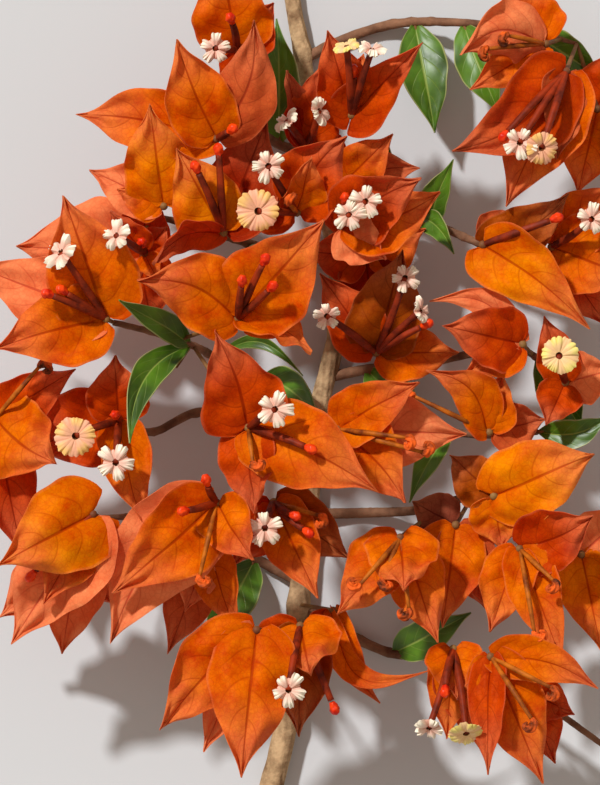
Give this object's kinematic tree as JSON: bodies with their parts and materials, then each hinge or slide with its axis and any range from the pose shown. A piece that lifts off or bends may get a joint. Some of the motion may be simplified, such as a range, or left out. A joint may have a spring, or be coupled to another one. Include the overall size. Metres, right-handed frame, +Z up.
{
  "type": "flowering bougainvillea branch",
  "caption": "Cut flowering branch of an orange bougainvillea, lying down: a woody stem with side boughs, green leaves and papery blooms.",
  "frame": {"origin": "on the surface that the branch lies on, under the middle of its box", "axes": "+Y along the main stem from its cut foot to its top, +Z up from the surface, +X across to the right as seen from above"},
  "size_m": [0.2056, 0.2548, 0.079],
  "materials": {
    "bark": "rough grey-tan bark with fine lengthwise cracks",
    "twig": "young red-brown bark, slightly hairy",
    "bract": "thin papery bract, orange, with raised veins, half matt",
    "leaf": "green leaf with a light midrib, half gloss",
    "flower": "small waxy flower, white to cream, on a dark red tube"
  },
  "bodies": {
    "root": {"bloom_bottom_a": "bract", "bloom_bottom_b": "bract", "bloom_bottom_right_a": "bract", "bloom_bottom_right_b": "bract", "bloom_bottom_right_c": "bract", "bloom_centre_a": "bract", "bloom_centre_b": "bract", "bloom_centre_c": "bract", "bloom_centre_right_a": "bract", "bloom_centre_right_b": "bract", "bloom_left_a": "bract", "bloom_left_b": "bract", "bloom_left_c": "bract", "bloom_left_d": "bract", "bloom_left_e": "bract", "bloom_left_f": "bract", "bloom_left_g": "bract", "bloom_lower_centre_a": "bract", "bloom_lower_centre_b": "bract", "bloom_lower_left_a": "bract", "bloom_lower_left_b": "bract", "bloom_lower_right_a": "bract", "bloom_lower_right_b": "bract", "bloom_lower_right_c": "bract", "bloom_lower_right_d": "bract", "bloom_right_a": "bract", "bloom_right_b": "bract", "bloom_right_c": "bract", "bloom_right_d": "bract", "bloom_right_e": "bract", "bloom_right_f": "bract", "bloom_top_a": "bract", "bloom_top_b": "bract", "bloom_top_left": "bract", "bloom_top_right_a": "bract", "bloom_top_right_b": "bract", "bloom_upper_left_a": "bract", "bloom_upper_left_b": "bract", "bloom_upper_left_c": "bract", "bloom_upper_left_d": "bract", "bloom_upper_right_a": "bract", "bloom_upper_right_b": "bract", "bloom_upper_right_c": "bract", "bough_bottom_right": "twig", "bough_left": "twig", "bough_left_low": "twig", "bough_lower_left": "twig", "bough_lower_right": "twig", "bough_mid_right": "twig", "bough_right": "twig", "bough_top_left": "twig", "bough_top_right": "twig", "bough_upper_left": "twig", "bough_upper_right": "twig", "main_stem": "bark"}
  },
  "joints": []
}
